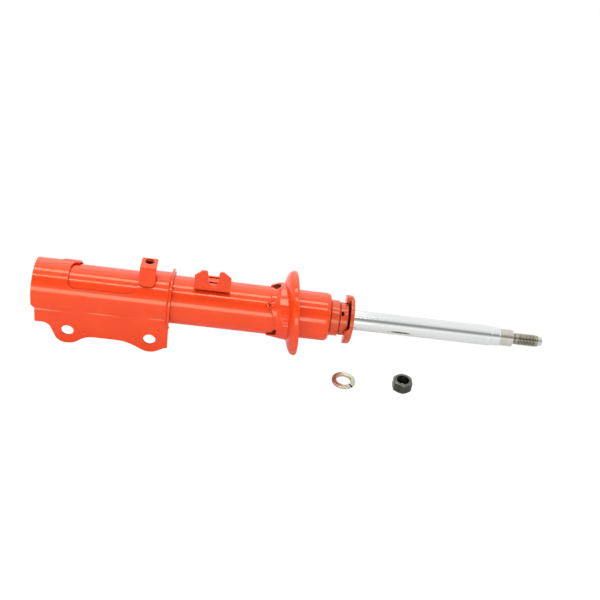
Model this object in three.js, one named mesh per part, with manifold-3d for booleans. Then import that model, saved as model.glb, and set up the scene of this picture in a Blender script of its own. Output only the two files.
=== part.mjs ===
// Front suspension strut: a twin-tube damper with a knuckle bracket, a spring seat, a hose bracket
// and a hose clip, and its top nut and spring washer lying loose beside it.
// Millimetres. The strut's axis is +X, from the knuckle end to the rod's thread. +Z is up and the
// ears of the knuckle bracket hang towards -Z. The origin is on the axis, at the base cap's face.
import * as THREE from 'three';
import { mergeVertices } from 'three/addons/utils/BufferGeometryUtils.js';
import Module from 'manifold-3d';

const wasm = await Module();
wasm.setup();

// Driving dimensions
const GAP = 0.3; // clearance between pieces that touch
const ROD_R = 10; // 20 mm rod
const TUBE_R = 23.8; // outer tube, 47.6 mm outside
const TUBE_WALL = 2;
const SHEET = 2.2; // bracket sheet
const STUD_R = 6; // M12 thread
const PRESSURE_R = 15; // bore of the pressure tube
const FINE = 40; // segments round the large parts
const COARSE = 20; // segments round the small parts
const ROUND = 32; // segments round the rod and what it runs in

// Angles about the axis, from +Y towards +Z
const COLLAR_TABS = [57, 222, 318].map(THREE.MathUtils.degToRad);
const COLLAR_SLOTS = [76, 203, 334].map(THREE.MathUtils.degToRad); // one beside each tab
const CAP_VENTS = [36, 126, 216, 306].map(THREE.MathUtils.degToRad);
const STRIKER_LUGS = [58, 213, 325].map(THREE.MathUtils.degToRad);

const TUBE_END = 288.5; // face of the tube's rolled end
const SLEEVE_R = TUBE_R + GAP + SHEET; // outside of the bracket's sleeve
const SLEEVE_END = 131;
const EAR_Y = 26.8; // outer face of each ear
const EAR_SPREAD = THREE.MathUtils.degToRad(15); // how far the sleeve wraps below the axis
const EAR_RIGHT = 132.6;
const BOLT_X = [35.1, 114.9]; // knuckle bolts, 80 mm apart
const BOLT_Z = -32.8;
const BOLT_R = 6;
const LOBE_R = 15.5; // ear metal round each bolt
const FLOOR_Z = BOLT_Z - LOBE_R; // what the ears, the nut and the washer lie on

const SEAT_X = 251.45;
const SEAT_TURN_Y = -0.058; // the seat leans over two axes, in radians
const SEAT_TURN_Z = 0.075;
const STROKE_TOP = 216; // rod shoulder above the piston, rod fully out

const paint = (name) => new THREE.MeshStandardMaterial({
  name, color: 0xf4563a, roughness: 0.32, metalness: 0.1,
});
const metal = (name, color, roughness) => new THREE.MeshStandardMaterial({
  name, color, roughness, metalness: 0.9,
});
const dull = (name, color, roughness) => new THREE.MeshStandardMaterial({
  name, color, roughness, metalness: 0,
});
const RED = paint('red_paint');
const CHROME = metal('chrome', 0xdfe2e4, 0.12);
const STEEL = metal('plain_steel', 0x9a9da0, 0.4);
const ZINC = metal('yellow_zinc', 0xcfa98c, 0.35);
const BLACK = metal('black_steel', 0x30312f, 0.55);
const SINTERED = metal('sintered_iron', 0x6d6c69, 0.6);
const BRONZE = metal('bronze', 0xa87c46, 0.4);
const RUBBER = dull('rubber', 0x1a1a1b, 0.8);
const PTFE = dull('ptfe', 0x3f4644, 0.5);

const group = new THREE.Group();

// ---------------------------------------------------------------- helpers

function toSolid(geometry) {
  const plain = geometry.clone();
  plain.deleteAttribute('normal');
  plain.deleteAttribute('uv');
  const merged = mergeVertices(plain, 1e-4);
  const vertProperties = Float32Array.from(merged.attributes.position.array);
  const triVerts = [];
  for (let i = 0; i < merged.index.count; i += 3) {
    const [a, b, c] = [0, 1, 2].map((k) => merged.index.getX(i + k));
    if (a !== b && b !== c && c !== a) triVerts.push(a, b, c);
  }
  if (signedVolume(vertProperties, triVerts) < 0) triVerts.reverse();
  const mesh = new wasm.Mesh({ numProp: 3, vertProperties, triVerts: Uint32Array.from(triVerts) });
  return new wasm.Manifold(mesh);
}

function signedVolume(points, triangles) {
  const corner = (k) => new THREE.Vector3().fromArray(points, 3 * triangles[k]);
  let volume = 0;
  for (let i = 0; i < triangles.length; i += 3) {
    volume += corner(i).dot(corner(i + 1).cross(corner(i + 2))) / 6;
  }
  return volume;
}

function add(name, solid, material) {
  const { numProp, vertProperties, triVerts } = solid.getMesh();
  const positions = new Float32Array((vertProperties.length / numProp) * 3);
  for (let i = 0; i < positions.length / 3; i += 1) {
    for (let k = 0; k < 3; k += 1) positions[3 * i + k] = vertProperties[i * numProp + k];
  }
  const geometry = new THREE.BufferGeometry();
  geometry.setAttribute('position', new THREE.BufferAttribute(positions, 3));
  geometry.setIndex(Array.from(triVerts));
  geometry.computeVertexNormals();
  const mesh = new THREE.Mesh(geometry, material);
  mesh.name = name;
  group.add(mesh);
}

// Turns a closed outline of [x, radius] points about the strut's axis.
function turned(outline, segments = COARSE) {
  const closed = outline[0][1] > 0 || outline.at(-1)[1] > 0 ? [...outline, outline[0]] : outline;
  const points = closed.map(([x, radius]) => new THREE.Vector2(radius, x));
  return toSolid(new THREE.LatheGeometry(points, segments).rotateZ(-Math.PI / 2));
}

const ring = (x0, x1, inner, outer, segments = COARSE) =>
  turned([[x0, inner], [x0, outer], [x1, outer], [x1, inner]], segments);

const disc = (x0, x1, radius, segments = COARSE) =>
  turned([[x0, 0], [x0, radius], [x1, radius], [x1, 0]], segments);

function extrude(shape, depth, curveSegments = 10) {
  return new THREE.ExtrudeGeometry(shape, { depth, bevelEnabled: false, curveSegments });
}

// Extrudes a shape drawn in Y and Z along X.
function alongX(shape, x0, x1, curveSegments) {
  const basis = new THREE.Matrix4().set(0, 0, 1, x0, 1, 0, 0, 0, 0, 1, 0, 0, 0, 0, 0, 1);
  return toSolid(extrude(shape, x1 - x0, curveSegments).applyMatrix4(basis));
}

// Extrudes a shape drawn in X and Z along Y.
function alongY(shape, y0, y1, curveSegments) {
  const basis = new THREE.Matrix4().set(1, 0, 0, 0, 0, 0, -1, y1, 0, 1, 0, 0, 0, 0, 0, 1);
  return toSolid(extrude(shape, y1 - y0, curveSegments).applyMatrix4(basis));
}

// Extrudes a shape drawn in X and Y along Z.
function alongZ(shape, z0, z1, curveSegments) {
  return toSolid(extrude(shape, z1 - z0, curveSegments).translate(0, 0, z0));
}

const polygon = (points) => new THREE.Shape(points.map(([a, b]) => new THREE.Vector2(a, b)));

const circle = (a, b, radius) => new THREE.Shape().absarc(a, b, radius, 0, 2 * Math.PI);

const drillY = (x, z, radius) => alongY(circle(x, z, radius), -60, 60);

const drillZ = (x, y, z0, z1, radius) => alongZ(circle(x, y, radius), z0, z1);

// A sector of a disc about the strut's axis, centred on an angle, for cutting slots.
function sector(x0, x1, centre, halfWidth, radius) {
  const shape = new THREE.Shape();
  shape.moveTo(0, 0);
  shape.lineTo(radius * Math.cos(centre - halfWidth), radius * Math.sin(centre - halfWidth));
  shape.absarc(0, 0, radius, centre - halfWidth, centre + halfWidth, false);
  return alongX(shape, x0, x1, 12);
}

// A hole that crosses a wall at an angle about the axis, stretched round the circumference.
function radialDrill(x, angle, radius, from, to, stretch = 1) {
  const hole = new THREE.CylinderGeometry(radius, radius, to - from, 12);
  hole.scale(1, 1, stretch).translate(0, (from + to) / 2, 0);
  hole.rotateX(angle);
  return toSolid(hole.translate(x, 0, 0));
}

const sum = (solids) => solids.reduce((whole, piece) => whole.add(piece));

const cut = (solid, cutters) => cutters.reduce((whole, cutter) => whole.subtract(cutter), solid);

// ---------------------------------------------------------------- tube

function reserveTube() {
  const shoulder = 7;
  const neckR = 17;
  const outline = [[0.5, TUBE_R - TUBE_WALL], [0.5, TUBE_R]];
  for (let step = 0; step <= 6; step += 1) {
    const angle = (step / 6) * (Math.PI / 2);
    const x = TUBE_END - shoulder + shoulder * Math.sin(angle);
    outline.push([x, neckR + (TUBE_R - neckR) * Math.cos(angle)]);
  }
  outline.push([TUBE_END, neckR - 2], [TUBE_END - 2, neckR - 2], [TUBE_END - 2, neckR]);
  outline.push([TUBE_END - 3.5, neckR + 3], [TUBE_END - shoulder, TUBE_R - TUBE_WALL]);
  return turned(outline, FINE);
}

function baseCap() {
  const outer = TUBE_R - TUBE_WALL - GAP;
  return turned([
    [0, 0], [0, outer - 2], [2, outer], [8, outer], [8, outer - 3], [3, outer - 5], [3, 0],
  ], FINE);
}

// ---------------------------------------------------------------- knuckle bracket

// The bent sheet seen along the axis: a sleeve over the tube that opens into two parallel ears.
function sheetSection(outer, inner, earOuter, earInner, bottom) {
  const wrap = [-EAR_SPREAD, Math.PI + EAR_SPREAD];
  const at = (radius, angle) => [radius * Math.cos(angle), radius * Math.sin(angle)];
  const shape = new THREE.Shape();
  shape.moveTo(earOuter, bottom);
  shape.lineTo(earOuter, -12);
  shape.lineTo(...at(outer, wrap[0]));
  shape.absarc(0, 0, outer, wrap[0], wrap[1], false);
  shape.lineTo(-earOuter, -12);
  shape.lineTo(-earOuter, bottom);
  shape.lineTo(-earInner, bottom);
  shape.lineTo(-earInner, -12.5);
  shape.lineTo(...at(inner, wrap[1]));
  shape.absarc(0, 0, inner, wrap[1], wrap[0], true);
  shape.lineTo(earInner, -12.5);
  shape.lineTo(earInner, bottom);
  return shape;
}

// The ears seen from the side: a lobe round each bolt and a shallow arch between them.
function earOutline() {
  const [first, second] = BOLT_X;
  const rad = THREE.MathUtils.degToRad;
  const shape = new THREE.Shape();
  shape.moveTo(0, 30);
  shape.lineTo(0, -8);
  shape.lineTo(3.5, -10);
  shape.lineTo(3.5, -25.8);
  shape.lineTo(9, -25.8);
  shape.bezierCurveTo(17, -26.4, 18.5, -31, first - LOBE_R * 0.98, BOLT_Z - LOBE_R * 0.2);
  shape.absarc(first, BOLT_Z, LOBE_R, rad(193), rad(305), false);
  shape.bezierCurveTo(50, -41, 58, -38.4, 70, -38.3);
  shape.lineTo(82, -38.3);
  shape.bezierCurveTo(94, -38.6, 100, -42.6, second + LOBE_R * Math.cos(rad(236)),
    BOLT_Z + LOBE_R * Math.sin(rad(236)));
  shape.absarc(second, BOLT_Z, LOBE_R, rad(236), rad(312), false);
  shape.lineTo(129, -41.8);
  shape.lineTo(EAR_RIGHT, -41.6);
  shape.lineTo(EAR_RIGHT, -14);
  shape.lineTo(SLEEVE_END + 3, -14);
  shape.lineTo(SLEEVE_END + 3, 30);
  return shape;
}

// One half of the window over the top of the sleeve, with round corners, from y0 to y1.
function windowHalf(low, y0, y1) {
  const [left, right] = [33.5, 99.3];
  const round = 7;
  const side = new THREE.Shape();
  side.moveTo(30, 40);
  side.lineTo(left, low + round + 1);
  side.quadraticCurveTo(left + 0.5, low, left + round, low);
  side.lineTo(right - round * 1.3, low);
  side.quadraticCurveTo(right, low, right, low + round * 1.3);
  side.lineTo(right, 40);
  return alongY(side, y0, y1);
}

// The whole window reaches lower on the far side, and its left edge slants in plan.
function windowCutter() {
  const plan = polygon([[32, -30], [41, 30], [101, 30], [101, -30]]);
  return windowHalf(14.8, -30, 0).add(windowHalf(10.7, 0, 30)).intersect(alongZ(plan, 10, 45));
}

function knuckleBracket() {
  const inner = TUBE_R + GAP;
  const sleeve = sheetSection(SLEEVE_R, inner, EAR_Y, EAR_Y - SHEET - 0.2, -60);
  const body = alongX(sleeve, 0, EAR_RIGHT, 20).intersect(alongY(earOutline(), -40, 40));
  const lipSection = sheetSection(SLEEVE_R + 3.7, inner, EAR_Y + 2, EAR_Y - SHEET, -16);
  const lip = alongX(lipSection, SLEEVE_END, SLEEVE_END + 2.4, 20);
  const pad = ring(22, 40, SLEEVE_R - 1, SLEEVE_R + 1.1, FINE)
    .intersect(sector(22, 40, THREE.MathUtils.degToRad(50), 0.24, 40));
  const bolts = BOLT_X.map((x) => drillY(x, BOLT_Z, BOLT_R));
  return cut(sum([body, lip, pad]), [windowCutter(), ...bolts]);
}

// ---------------------------------------------------------------- hose bracket and clip

const HOSE_X = 108.5; // centre of the hose bracket
const HOSE_HOLE_Y = 2.6;
const HOSE_TOP = 39.6;

// An upright leg that leans back, and a level tab with the hose bolt's hole.
function hoseBracket() {
  const width = 15.8;
  const back = 9;
  const thick = 2.5;
  const side = polygon([
    [-16.9, 23.8], [-7.2, HOSE_TOP], [back, HOSE_TOP], [back, HOSE_TOP - thick],
    [-5.8, HOSE_TOP - thick], [-14.7, 22.8],
  ]);
  const strap = alongX(side, HOSE_X - width / 2, HOSE_X + width / 2);
  const front = new THREE.Shape();
  front.moveTo(HOSE_X - width, 60);
  front.lineTo(HOSE_X - width / 2, 28);
  front.quadraticCurveTo(HOSE_X - width / 2, 22.5, HOSE_X - 3, 22.5);
  front.lineTo(HOSE_X + 3, 22.5);
  front.quadraticCurveTo(HOSE_X + width / 2, 22.5, HOSE_X + width / 2, 28);
  front.lineTo(HOSE_X + width, 60);
  return strap.intersect(alongY(front, -30, 30))
    .subtract(drillZ(HOSE_X, HOSE_HOLE_Y, 30, 50, 4.4));
}

function hoseWeldNut() {
  const top = HOSE_TOP - 2.5 - GAP;
  const nut = new THREE.CylinderGeometry(6.6, 6.6, 6, 6).rotateX(Math.PI / 2);
  nut.translate(HOSE_X, HOSE_HOLE_Y, top - 3);
  return toSolid(nut).subtract(drillZ(HOSE_X, HOSE_HOLE_Y, 20, 50, 3.4));
}

const CLIP_X = [153.4, 188.5]; // ends of the clip's plate
const CLIP_FACE = -14; // its outer face
const CLIP_BACK = 10; // end of its foot

// The clip seen along the axis: a foot on the tube's top line, bent up into a plate.
function clipSection() {
  const bend = 2.6;
  const low = TUBE_R + GAP;
  const shape = new THREE.Shape();
  shape.moveTo(CLIP_BACK, low);
  shape.lineTo(CLIP_FACE + bend, low);
  shape.absarc(CLIP_FACE + bend, low + bend, bend, -Math.PI / 2, -Math.PI, true);
  shape.lineTo(CLIP_FACE, 60);
  shape.lineTo(CLIP_FACE + SHEET, 60);
  shape.lineTo(CLIP_FACE + SHEET, low + SHEET);
  shape.lineTo(CLIP_BACK, low + SHEET);
  return shape;
}

// The clip seen from the side: two horns with a U-shaped notch between them.
function clipFront() {
  const [left, right] = CLIP_X;
  const notch = { x: 171.3, z: 37, radius: 5.1 };
  const shape = new THREE.Shape();
  shape.moveTo(left, 20);
  shape.lineTo(left, 41.2);
  shape.lineTo(160.6, 47.5);
  shape.lineTo(164.6, 47.5);
  shape.lineTo(notch.x - notch.radius, 42.9);
  shape.lineTo(notch.x - notch.radius, notch.z);
  shape.absarc(notch.x, notch.z, notch.radius, Math.PI, 2 * Math.PI, false);
  shape.lineTo(notch.x + notch.radius, 42.9);
  shape.lineTo(177.4, 47.9);
  shape.lineTo(180.8, 47.9);
  shape.lineTo(right, 41.6);
  shape.lineTo(right, 20);
  return shape;
}

// An angle piece whose foot is narrower than its plate and has two slots.
function hoseClipPlate() {
  const [left, right] = CLIP_X;
  const plan = polygon([
    [160, CLIP_BACK], [183, CLIP_BACK], [183, -5], [right, -7], [right, -20], [left, -20],
    [left, -7], [160, -5],
  ]);
  const slots = [-2.6, 5.8].map((y) => alongZ(
    polygon([[166, y], [177, y], [177, y + 2], [166, y + 2]]), 20, 30));
  const angle = alongX(clipSection(), left, right)
    .intersect(alongY(clipFront(), -20, 12))
    .intersect(alongZ(plan, 20, 60));
  return cut(angle, slots);
}

// ---------------------------------------------------------------- spring seat and collar

const tilt = (geometryPoint) => geometryPoint
  .rotate([0, THREE.MathUtils.radToDeg(SEAT_TURN_Y), THREE.MathUtils.radToDeg(SEAT_TURN_Z)])
  .translate([SEAT_X, 0, 0]);

function springSeat() {
  const hub = 25.3;
  return tilt(turned([
    [-7, hub], [-7, 33.5], [-5, 38], [-2.4, 41.4], [-1, 42], [2.6, 42], [4.6, 41],
    [4.6, 38.8], [-1, 39], [-3.8, 36.4], [-4.6, 33], [-4.6, hub],
  ], FINE));
}

// A flared collar under the seat with three raised tabs, each beside a slot.
function seatCollar() {
  const inner = TUBE_R + GAP;
  const cone = turned([[226, inner], [226, inner + 1.6], [250, inner + 4.2], [250, inner]], FINE);
  const tabs = COLLAR_TABS.map((angle) => {
    const roof = turned([[225, inner], [225, inner + 1], [234, inner + 5], [250, inner + 5],
      [250, inner]], FINE);
    return roof.intersect(sector(225, 250, angle, 0.24, 40));
  });
  const slots = COLLAR_SLOTS.map((angle) => radialDrill(234, angle, 2.6, 20, 40));
  const aboveSeat = tilt(toSolid(new THREE.BoxGeometry(60, 90, 90).translate(30 - 7 - GAP, 0, 0)));
  return cut(sum([cone, ...tabs]), [aboveSeat, ...slots]);
}

// ---------------------------------------------------------------- cap and striker

function endCap() {
  const neck = turned([
    [TUBE_END + GAP, 14], [TUBE_END + GAP, 17.7], [296.8, 17.7], [297.4, 17], [297.4, 15.5],
    [298.2, 15.5], [298.2, 16.4], [305.4, 16.4], [306.2, 15.6], [306.2, 10.8], [304, 10.8],
    [304, 14],
  ], FINE);
  return cut(neck, CAP_VENTS.map((angle) => radialDrill(300.2, angle, 1.3, 12, 20, 1.9)));
}

// A bump-stop striker: a flat plate with a hub, and three lugs that reach back over the neck.
function strikerPlate() {
  const face = 311.2;
  const back = face - 3.7;
  const plate = turned([
    [306.5, 10.8], [306.5, 12.4], [back, 12.4], [back, 22.6], [face - 0.8, 22.6],
    [face, 21.8], [face, 10.8],
  ], FINE);
  const band = turned([
    [303, 17.4], [303, 24.4], [face - 1.6, 24.4], [face, 22.8], [face, 17.4],
  ], FINE);
  const lugs = STRIKER_LUGS.map((angle) => band.intersect(sector(300, 312, angle, 0.42, 40)));
  return sum([plate, ...lugs]);
}

// ---------------------------------------------------------------- rod and piston

function pistonRod() {
  return turned([
    [183, 0], [183, 4.2], [184, 5], [STROKE_TOP, 5], [STROKE_TOP, ROD_R - 0.5],
    [STROKE_TOP + 1, ROD_R], [450, ROD_R], [452, 9.2], [459, 9.2], [461, 8.4], [473.2, 8.4],
    [474, 7.8], [474, STUD_R - 0.6], [477, STUD_R - 0.6], [477.6, STUD_R], [497.5, STUD_R],
    [499.5, 5.5], [504, 4.1], [504, 2.8], [501.5, 2.3], [501.5, 0],
  ], ROUND);
}

function piston() {
  const passages = [0, 1, 2, 3, 4, 5].map((k) => {
    const angle = (k / 6) * 2 * Math.PI;
    return alongX(circle(8.6 * Math.cos(angle), 8.6 * Math.sin(angle), 1.4), 190, 220, 6);
  });
  const body = turned([
    [197, 5 + GAP], [197, 14.6], [200, 14.6], [200, 13.6], [209, 13.6], [209, 14.6],
    [213, 14.6], [213, 5 + GAP],
  ]);
  return cut(body, passages);
}

function hexNut(acrossFlats, height, hole, chamfer) {
  const corner = acrossFlats / Math.sqrt(3);
  const prism = new THREE.CylinderGeometry(corner, corner, height, 6).rotateX(Math.PI / 2);
  const flat = acrossFlats / 2;
  const barrel = new THREE.LatheGeometry([
    [0, 0], [flat - 0.2, 0], [flat - 0.2 + chamfer * 2, chamfer],
    [flat - 0.2 + chamfer * 2, height - chamfer], [flat - 0.2, height], [0, height],
  ].map(([r, z]) => new THREE.Vector2(r, z)), COARSE).rotateX(Math.PI / 2);
  const bore = new THREE.LatheGeometry([
    [0, -1], [hole + 1.9, -1], [hole, 1], [hole, height - 1], [hole + 1.9, height + 1],
    [0, height + 1],
  ].map(([r, z]) => new THREE.Vector2(r, z)), 24).rotateX(Math.PI / 2);
  return toSolid(prism.translate(0, 0, height / 2)).intersect(toSolid(barrel)).subtract(toSolid(bore));
}

function pistonNut() {
  return hexNut(15, 8, 5 + GAP, 0.8).rotate([0, 90, 0]).translate([185.6, 0, 0]);
}

// ---------------------------------------------------------------- loose hardware

const NUT_AT = [368, -38.1];
const WASHER_AT = [309.5, -38.9];

function looseNut() {
  return hexNut(18, 10.4, 5.2, 0.9).rotate([0, 0, 3]).translate([...NUT_AT, FLOOR_Z]);
}

function springWasher() {
  const shape = circle(0, 0, 11.8);
  shape.holes.push(new THREE.Path().absarc(0, 0, 7.2, 0, 2 * Math.PI, true));
  const split = toSolid(new THREE.BoxGeometry(8, 1.6, 10).translate(10, 0, 0));
  return alongZ(shape, 0, 3.2, 18).subtract(split).rotate([0, 0, -48])
    .translate([...WASHER_AT, FLOOR_Z]);
}

// ---------------------------------------------------------------- assembly

add('reserve_tube', reserveTube(), RED);
add('base_cap', baseCap(), RED);
add('knuckle_bracket', knuckleBracket(), RED);
add('hose_bracket', hoseBracket(), RED);
add('hose_weld_nut', hoseWeldNut(), RED);
add('hose_clip_plate', hoseClipPlate(), RED);
add('seat_collar', seatCollar(), RED);
add('spring_seat', springSeat(), RED);
add('end_cap', endCap(), RED);
add('striker_plate', strikerPlate(), RED);

add('inner_cylinder', ring(12, 264.7, PRESSURE_R, PRESSURE_R + 1.5), STEEL);
add('base_valve_body', turned([
  [8.3, 3.3], [8.3, 17.5], [11.7, 17.5], [11.7, 14.7], [18, 14.7], [18, 3.3],
]), SINTERED);
add('base_valve_disc', ring(18.3, 19.1, 3.3, 12), STEEL);
add('base_valve_bolt', turned([
  [5, 0], [5, 5], [8, 5], [8, 3], [19.4, 3], [19.4, 5], [22, 5], [22, 0],
], 18), STEEL);

add('rod_guide', turned([
  [259, 11.6], [259, 14.7], [265, 14.7], [265, 21.4], [276, 21.4], [276, 11.6],
]), SINTERED);
add('guide_bush', ring(259.5, 275.8, ROD_R + 0.1, 11.3, ROUND), BRONZE);
add('oil_seal', turned([
  [276.3, 12.5], [276.3, 17], [282.4, 17], [282.4, ROD_R + 0.15], [280, ROD_R + 0.15],
  [279, 12.5],
], ROUND), RUBBER);
add('guide_o_ring', ring(276.3, 279.3, 18.4, 21.2), RUBBER);
add('seal_washer', ring(282.8, 285.6, 10.6, 16.8), STEEL);

add('piston', piston(), SINTERED);
add('piston_band', ring(200.3, 208.7, 13.9, 14.9), PTFE);
add('rebound_discs', ring(194.5, 196.7, 5 + GAP, 11.5), STEEL);
add('compression_disc', ring(213.3, 214.1, 5 + GAP, 12), STEEL);

add('piston_rod', pistonRod(), CHROME);
add('stop_washer', ring(214.4, 215.7, 5 + GAP, 9.5), STEEL);
add('piston_nut', pistonNut(), STEEL);
add('rebound_stop', ring(246, 251, ROD_R + GAP, 13.5), STEEL);
add('rebound_bumper', ring(251.3, 258, ROD_R + GAP, 13.2), RUBBER);

add('spring_washer', springWasher(), ZINC);
add('hex_nut', looseNut(), BLACK);

export default group;
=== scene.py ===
"""The looks of a front suspension strut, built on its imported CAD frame.

The mesh code works in millimetres and Blender in metres. The strut's axis is X, and the ears of
its knuckle bracket hang towards -Z. Angles about the axis run from +Y, the far side, over +Z.
"""
import math
from math import cos, pi, radians, sin, tan

import bpy
from mathutils import Matrix, Vector
from mathutils.geometry import delaunay_2d_cdt

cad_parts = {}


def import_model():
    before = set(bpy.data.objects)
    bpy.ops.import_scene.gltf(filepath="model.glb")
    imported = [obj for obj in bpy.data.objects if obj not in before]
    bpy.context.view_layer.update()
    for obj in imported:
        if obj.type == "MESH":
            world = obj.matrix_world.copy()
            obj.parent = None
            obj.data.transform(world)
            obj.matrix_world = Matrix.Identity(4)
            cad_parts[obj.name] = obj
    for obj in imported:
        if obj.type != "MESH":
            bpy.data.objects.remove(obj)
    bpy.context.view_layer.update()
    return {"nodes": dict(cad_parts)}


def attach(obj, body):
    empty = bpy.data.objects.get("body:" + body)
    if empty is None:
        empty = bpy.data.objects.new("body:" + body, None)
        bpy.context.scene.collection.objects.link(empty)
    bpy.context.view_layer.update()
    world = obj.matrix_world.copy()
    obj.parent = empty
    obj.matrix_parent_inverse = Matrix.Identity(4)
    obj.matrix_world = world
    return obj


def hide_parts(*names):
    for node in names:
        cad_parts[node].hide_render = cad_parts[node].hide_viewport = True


MM = 0.001
TURN = 2 * pi
X_AXIS = Vector((1, 0, 0))

# Tube and rod
TUBE_R = 23.8
TUBE_END = 288.5
ROD_R = 10.0
STUD_R = 6.0
PITCH = 1.5
THREAD = (478.0, 497.5)
THREAD_SHADE_RADII = (5.15, 5.9)  # the radii at which the thread is darkest and lightest
# Where the rod's finish changes
CHROME_END = 460.2
NECK = 474.1
TIP = 498.8

# Knuckle bracket
SLEEVE_R = 26.3
EAR_Y = 26.8
SHEET = 2.2
QUARTER = SLEEVE_R * pi / 2  # from the top line, round the sleeve, to the axis' height
LIP_START = 129.3
LIP_ARC = 2.4
BOLT_X = (35.1, 114.9)
BOLT_Z = -32.8
BOLT_R = 6.0
FLOOR_Z = -48.3

# Spring seat, which leans, and its collar
SEAT_X = 251.45
SEAT_TURN_Y = -0.058
SEAT_TURN_Z = 0.075
COLLAR_CREST = 237.0  # where the sheet has risen from its left edge
COLLAR_TABS = (radians(54), radians(222), radians(318))  # pointed tabs of the collar
# The opening beside each tab: its angle, its half width and its half width with its slopes.
COLLAR_SLOTS = tuple(
    tuple(radians(a) for a in slot) for slot in ((76, 6, 11), (203, 11, 15), (334, 6, 11))
)

# Striker and the neck behind it
VENTS = tuple(radians(a) for a in (36, 126, 216, 306))
VENT_X = 300.2
STRIKER_FACE = 311.2
# The striker's lugs: where each is, its half width at its tip and its half width at its root.
LUGS = tuple(
    tuple(radians(a) for a in lug) for lug in ((58, 21, 24), (213, 25, 48), (325, 21, 30))
)

# Where the loose pieces lie
NUT_AT = (368.0, -38.1)
WASHER_AT = (309.5, -38.9)

SMOOTH = 160  # segments round the large parts
SMALL = 96  # segments round the small parts


# ---- meshes


class Skin:
    """The points, normals and faces of one piece, in millimetres."""

    def __init__(self):
        self.points = []
        self.normals = []
        self.faces = []

    def point(self, place, normal):
        self.points.append(place)
        self.normals.append(normal)
        return len(self.points) - 1

    def face(self, *corners):
        """Adds a face turned to agree with the normals at its corners."""
        kept = [c for k, c in enumerate(corners) if c != corners[k - 1]]
        if len(kept) < 3:
            return
        first, second, third = (self.points[k] for k in kept[:3])
        across = (second - first).cross(self.points[kept[-1]] - first)
        across += (third - second).cross(first - second)
        if across.dot(sum((self.normals[k] for k in kept), Vector())) < 0:
            kept.reverse()
        self.faces.append(kept)

    def strip(self, row, other):
        """Joins two closed rows of points with faces."""
        for k in range(len(row)):
            self.face(row[k - 1], row[k], other[k], other[k - 1])


def new_object(name, points, faces, material):
    """A mesh object in the scene, its points in metres."""
    mesh = bpy.data.meshes.new(name)
    mesh.from_pydata(points, [], faces)
    mesh.materials.append(material)
    item = bpy.data.objects.new(name, mesh)
    bpy.context.scene.collection.objects.link(item)
    return item


def make(name, skin, materials, slot, replaces, body="strut_body", look=None):
    """The object of a skin, in its slot's material or another look. It rides on a body and stands
    for the CAD nodes it replaces.
    """
    material = materials[look or slot]
    piece = new_object(name, [tuple(p * MM) for p in skin.points], skin.faces, material)
    mesh = piece.data
    mesh.polygons.foreach_set("use_smooth", [True] * len(mesh.polygons))
    mesh.normals_split_custom_set_from_vertices([tuple(n.normalized()) for n in skin.normals])
    mesh.update()
    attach(piece, body)
    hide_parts(*replaces)
    return piece


def other_finish(piece, material, belongs):
    """Gives another material to the faces that belong, by position, radius and angle."""
    piece.data.materials.append(material)
    index = len(piece.data.materials) - 1
    for face in piece.data.polygons:
        x, y, z = face.center / MM
        if belongs(x, math.hypot(y, z), math.atan2(z, y)):
            face.material_index = index


def smoothstep(value, start, end):
    """0 before start, 1 after end, and an even curve between them."""
    share = min(1.0, max(0.0, (value - start) / (end - start)))
    return share * share * (3 - 2 * share)


def angle_from(angle, centre):
    """The signed angle between two directions, within half a turn."""
    return (angle - centre + pi) % TURN - pi


def nearest(angle, centres):
    """The signed angle to the nearest of several directions."""
    return min((angle_from(angle, c) for c in centres), key=abs)


def rounded(corners, closed=True, step=18.0):
    """The points of an outline of (a, b, radius) corners, each corner an arc of its radius."""
    points = []
    count = len(corners)
    for k, (a, b, radius) in enumerate(corners):
        here = Vector((a, b))
        if not closed and k in (0, count - 1):
            points.append((a, b))
            continue
        before = here - Vector(corners[k - 1][:2])
        after = Vector(corners[(k + 1) % count][:2]) - here
        bend = math.atan2(before.cross(after), before.dot(after))
        room = 0.499 * min(before.length, after.length)
        reach = min(radius * tan(abs(bend) / 2), room)
        if reach < 1e-4:
            points.append((a, b))
            continue
        radius = reach / tan(abs(bend) / 2)
        start = here - before.normalized() * reach
        heading = math.atan2(before.y, before.x)
        side = 1 if bend > 0 else -1
        centre = start + side * radius * Vector((-sin(heading), cos(heading)))
        parts = max(2, math.ceil(math.degrees(abs(bend)) / step))
        for i in range(parts + 1):
            way = heading + bend * i / parts
            points.append(tuple(centre + side * radius * Vector((sin(way), -cos(way)))))
    return points


def softened(corners, closed=True, steps=5):
    """The points of an outline of (a, b, reach) corners, each a curve that begins and ends at its
    reach from the corner. There are as many points whatever the bends, so outlines can be joined.
    """
    points = []
    count = len(corners)
    for k, (a, b, reach) in enumerate(corners):
        here = Vector((a, b))
        if not closed and k in (0, count - 1):
            points.append((a, b))
            continue
        before = here - Vector(corners[k - 1][:2])
        after = Vector(corners[(k + 1) % count][:2]) - here
        reach = min(reach, 0.49 * before.length, 0.49 * after.length)
        start, end = here - before.normalized() * reach, here + after.normalized() * reach
        for i in range(steps + 1):
            t = i / steps
            points.append(tuple((1 - t) ** 2 * start + 2 * t * (1 - t) * here + t * t * end))
    return points


def dense(points, spacing, closed=True):
    """An outline with more points on each stretch longer than the spacing."""
    ends = points[1:] + (points[:1] if closed else [])
    filled = []
    for (a, b), (c, d) in zip(points, ends):
        pieces = max(1, math.ceil(math.hypot(c - a, d - b) / spacing))
        filled += [(a + (c - a) * i / pieces, b + (d - b) * i / pieces) for i in range(pieces)]
    return filled if closed else filled + points[-1:]


def ring_points(a, b, radius, count=40):
    """The points of a circle."""
    return [
        (a + radius * cos(TURN * k / count), b + radius * sin(TURN * k / count))
        for k in range(count)
    ]


# ---- turned pieces


def about_x(along, radius, angle):
    return Vector((along, radius * cos(angle), radius * sin(angle)))


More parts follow.
